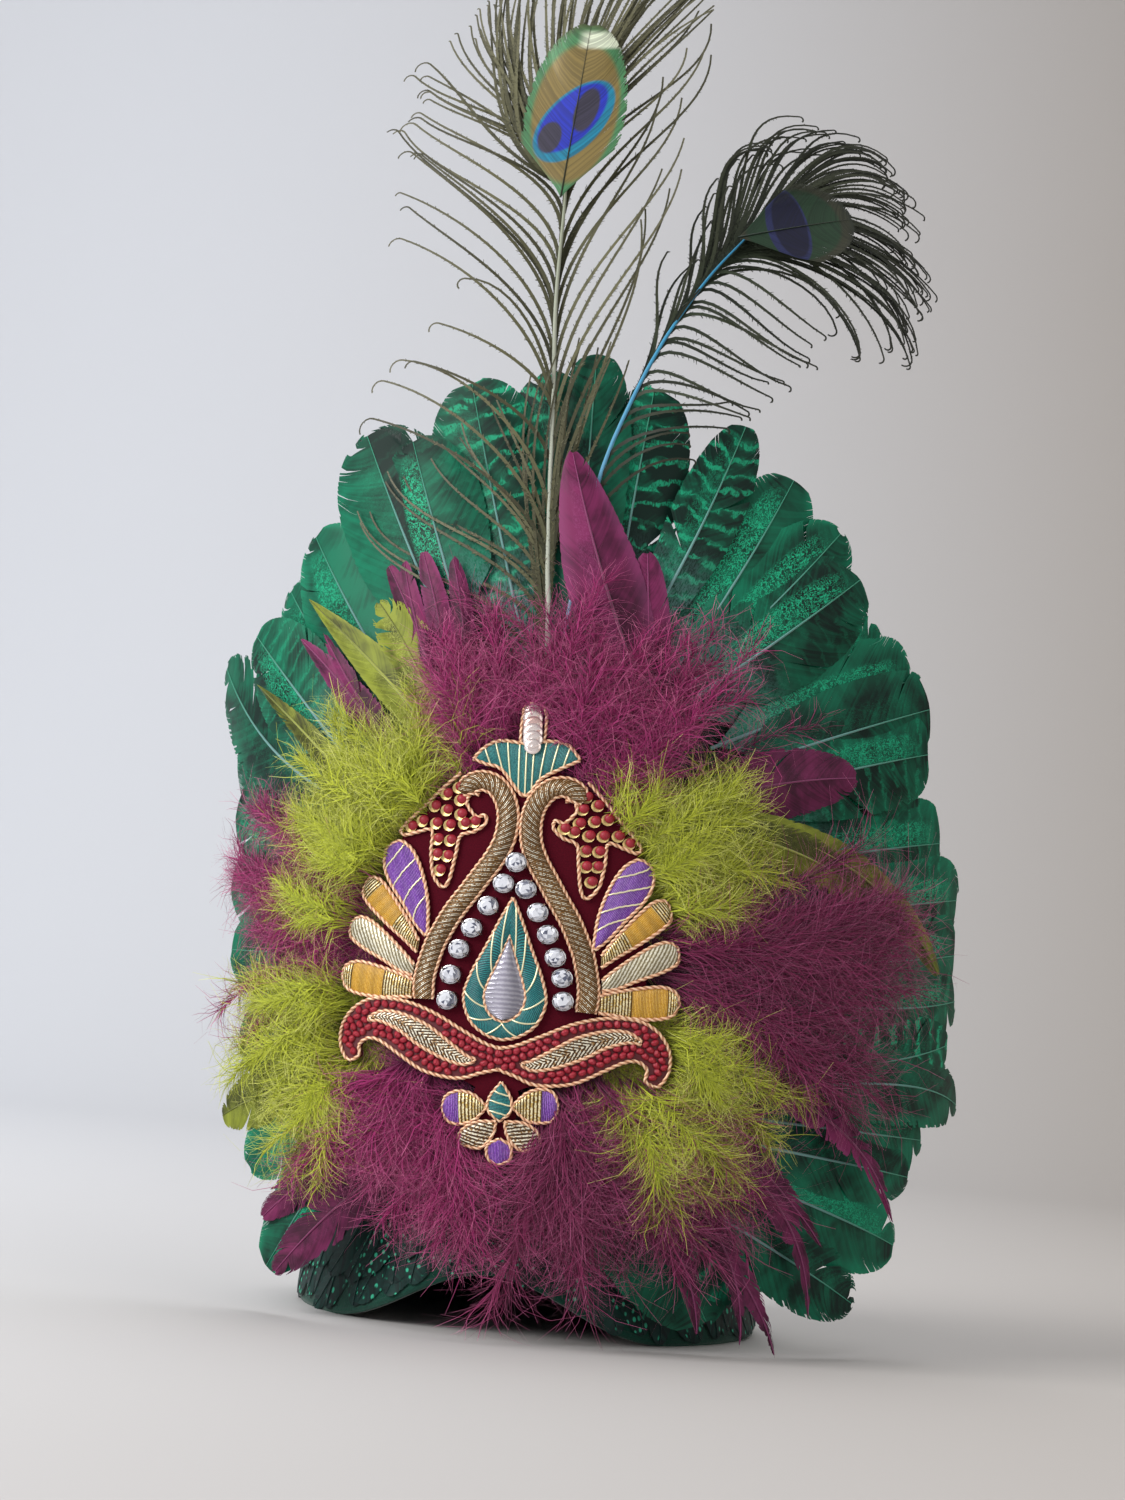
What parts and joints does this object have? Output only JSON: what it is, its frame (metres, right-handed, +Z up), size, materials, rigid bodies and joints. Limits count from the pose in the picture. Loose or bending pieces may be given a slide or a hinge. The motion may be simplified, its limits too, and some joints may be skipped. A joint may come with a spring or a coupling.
{
  "type": "feathered headdress",
  "caption": "Cloth cap with a tall fan of green feathers, dyed fluff, peacock feathers and an embroidered jewelled patch at the front.",
  "frame": {"origin": "on the plane the rim rests on, under the middle of the whole object's box", "axes": "+Z up along the fan and the peacock feathers, -Y out of the front, +X to the right of someone who looks at the front"},
  "size_m": [0.2698, 0.216, 0.4824],
  "materials": {
    "cap_cloth": "matt woven cloth, dark green",
    "spotted_feather": "dark feathers with turquoise spots",
    "green_feather": "dyed feather, satin",
    "magenta_feather": "dyed feather, satin",
    "magenta_fluff": "soft down",
    "lime_feather": "dyed feather, satin",
    "lime_fluff": "soft down",
    "peacock_feather": "iridescent feather",
    "velvet": "burgundy velvet with silk embroidery",
    "gold_cord": "twisted metal bullion",
    "red_silk": "knotted red silk",
    "teal_silk": "satin stitch",
    "silver_plate": "flattened silver wire",
    "crystal": "cut stone in a metal cup"
  },
  "bodies": {
    "root": {"cap": "cap_cloth", "front_panel": "cap_cloth", "spotted_band": "spotted_feather", "feather_top_1": "green_feather", "feather_top_2": "green_feather", "feather_top_3": "green_feather", "feather_top_4": "green_feather", "feather_top_5": "green_feather", "feather_left_1": "green_feather", "feather_left_2": "green_feather", "feather_left_3": "green_feather", "feather_left_4": "green_feather", "feather_left_5": "green_feather", "feather_left_6": "green_feather", "feather_left_7": "green_feather", "feather_right_1": "green_feather", "feather_right_2": "green_feather", "feather_right_3": "green_feather", "feather_right_4": "green_feather", "feather_right_5": "green_feather", "feather_right_6": "green_feather", "feather_right_7": "green_feather", "feather_right_8": "green_feather", "feather_right_9": "green_feather", "magenta_quill_centre": "magenta_feather", "magenta_blade_right": "magenta_feather", "magenta_blades_lower": "magenta_feather", "lime_vane_left": "lime_feather", "lime_hackles_right": "lime_feather", "magenta_plume_top_left": "magenta_fluff", "magenta_plume_top_right": "magenta_fluff", "lime_plume_upper_right": "lime_fluff", "magenta_plume_right": "magenta_fluff", "lime_plume_lower_right": "lime_fluff", "magenta_plume_brow_right": "magenta_fluff", "magenta_plume_brow_left": "magenta_fluff", "lime_plume_lower_left": "lime_fluff", "magenta_plume_left": "magenta_fluff", "lime_plume_upper_left": "lime_fluff", "peacock_tall": "peacock_feather", "peacock_curled": "peacock_feather", "patch_ground": "velvet", "gold_scroll_left": "gold_cord", "gold_scroll_right": "gold_cord", "red_scroll": "red_silk", "teal_drop": "teal_silk", "silver_drop": "silver_plate", "rhinestone_01": "crystal", "rhinestone_02": "crystal", "rhinestone_03": "crystal", "rhinestone_04": "crystal", "rhinestone_05": "crystal", "rhinestone_06": "crystal", "rhinestone_07": "crystal", "rhinestone_08": "crystal", "rhinestone_09": "crystal", "rhinestone_10": "crystal", "rhinestone_11": "crystal", "rhinestone_12": "crystal", "rhinestone_13": "crystal"}
  },
  "joints": []
}
